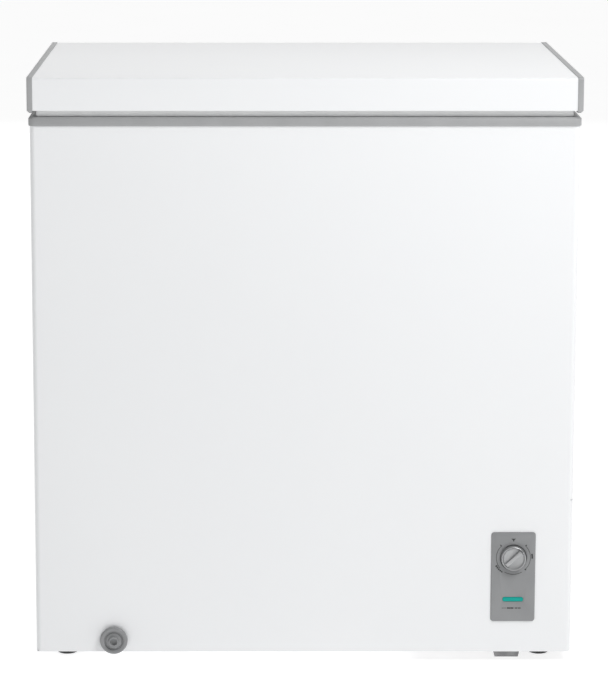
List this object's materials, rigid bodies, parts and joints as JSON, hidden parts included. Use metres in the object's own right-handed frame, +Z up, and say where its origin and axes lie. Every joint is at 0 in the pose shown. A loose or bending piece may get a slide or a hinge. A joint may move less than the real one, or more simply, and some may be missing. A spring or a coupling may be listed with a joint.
{
  "type": "chest freezer",
  "caption": "White top-opening chest freezer with a spring-hinged insulated lid, grey rim and gasket, front thermostat panel, drain cap, low feet and a hanging wire basket.",
  "frame": {"origin": "on the floor, below the middle of the whole freezer, hinges and knob included", "axes": "+Z up, -Y towards the front where the control panel is, +X to the right as seen from the front"},
  "size_m": [0.78, 0.578, 0.85],
  "materials": {
    "white_painted_steel": "gloss",
    "galvanised_steel": "satin",
    "insulating_foam": "matte",
    "liner_aluminium": "satin",
    "grey_plastic": "satin",
    "copper_tube": "satin",
    "black_enamel": "gloss",
    "black_rubber": "matte",
    "zinc_plated": "satin",
    "black_plastic": "matte",
    "white_plastic": "satin",
    "panel_grey": "satin",
    "teal_lens": "gloss",
    "clear_glass": "gloss",
    "spring_steel": "satin",
    "gasket_vinyl": "satin",
    "coated_wire": "gloss"
  },
  "bodies": {
    "cabinet": {"outer_wrap": "white_painted_steel", "back_panel": "galvanised_steel", "bottom_panel": "galvanised_steel", "bay_divider": "galvanised_steel", "cabinet_foam": "insulating_foam", "inner_liner": "liner_aluminium", "top_rim": "grey_plastic", "evaporator_coil": "copper_tube", "condenser_coil": "copper_tube", "compressor_shell": "black_enamel", "compressor_bracket": "black_enamel", "compressor_grommets": "black_rubber", "compressor_bolts": "zinc_plated", "compressor_tray": "galvanised_steel", "tray_screws": "zinc_plated", "relay_cover": "black_plastic", "filter_drier": "copper_tube", "suction_line": "copper_tube", "discharge_line": "copper_tube", "capillary_tube": "copper_tube", "rear_grille": "black_plastic", "rear_grille_screws": "zinc_plated", "side_vent": "white_plastic", "cord_grommet": "black_rubber", "control_bezel": "panel_grey", "control_box": "white_plastic", "thermostat_body": "zinc_plated", "thermostat_sensor": "copper_tube", "indicator_lens": "teal_lens", "indicator_lamp": "clear_glass", "wiring_harness": "black_rubber", "drain_tube": "white_plastic", "drain_outlet": "panel_grey", "feet": "black_plastic", "foot_screws": "zinc_plated", "hinge_base_left": "zinc_plated", "hinge_base_right": "zinc_plated", "hinge_pins": "zinc_plated", "hinge_spring_left": "spring_steel", "hinge_spring_right": "spring_steel", "hinge_cover_left": "grey_plastic", "hinge_cover_right": "grey_plastic", "hinge_base_screws": "zinc_plated"},
    "lid": {"lid_pan": "white_painted_steel", "lid_end_cap_left": "grey_plastic", "lid_end_cap_right": "grey_plastic", "lid_foam": "insulating_foam", "lid_liner": "white_plastic", "lid_gasket": "gasket_vinyl", "gasket_magnet": "black_rubber", "hinge_leaf_left": "zinc_plated", "hinge_leaf_right": "zinc_plated", "hinge_leaf_screws": "zinc_plated"},
    "knob": {"thermostat_knob": "panel_grey", "thermostat_shaft": "zinc_plated"},
    "drain_cap": {"drain_cap": "panel_grey"},
    "drain_plug": {"drain_plug": "white_plastic"},
    "basket": {"basket": "coated_wire"},
    "plunger_left": {"hinge_plunger_left": "zinc_plated"},
    "plunger_right": {"hinge_plunger_right": "zinc_plated"}
  },
  "joints": [
    {"name": "lid_hinge", "type": "hinge", "parent": "cabinet", "child": "lid", "pos_m": [0, 0.2735, 0.797], "axis": [-1, 0, 0], "range_deg": [0, 80]},
    {"name": "knob_turn", "type": "hinge", "parent": "cabinet", "child": "knob", "pos_m": [0.302, -0.277, 0.156], "axis": [0, 1, 0], "range_deg": [-180, 90]},
    {"name": "drain_cap_pull", "type": "slide", "parent": "cabinet", "child": "drain_cap", "axis": [0, -1, 0], "range_m": [0, 0.04]},
    {"name": "drain_plug_lift", "type": "slide", "parent": "cabinet", "child": "drain_plug", "axis": [0, 0, 1], "range_m": [0, 0.05]},
    {"name": "basket_slide", "type": "slide", "parent": "cabinet", "child": "basket", "axis": [1, 0, 0], "range_m": [-0.43, 0]},
    {"name": "plunger_left_slide", "type": "slide", "parent": "cabinet", "child": "plunger_left", "axis": [0, 0, 1], "range_m": [0, 0.0071], "deforming": ["hinge_spring_left"]},
    {"name": "plunger_right_slide", "type": "slide", "parent": "cabinet", "child": "plunger_right", "axis": [0, 0, 1], "range_m": [0, 0.0071], "deforming": ["hinge_spring_right"]}
  ],
  "couplings": [
    {"joint": "plunger_left_slide", "follows": "lid_hinge", "m_per_rad": 0.005},
    {"joint": "plunger_right_slide", "follows": "lid_hinge", "m_per_rad": 0.005}
  ]
}
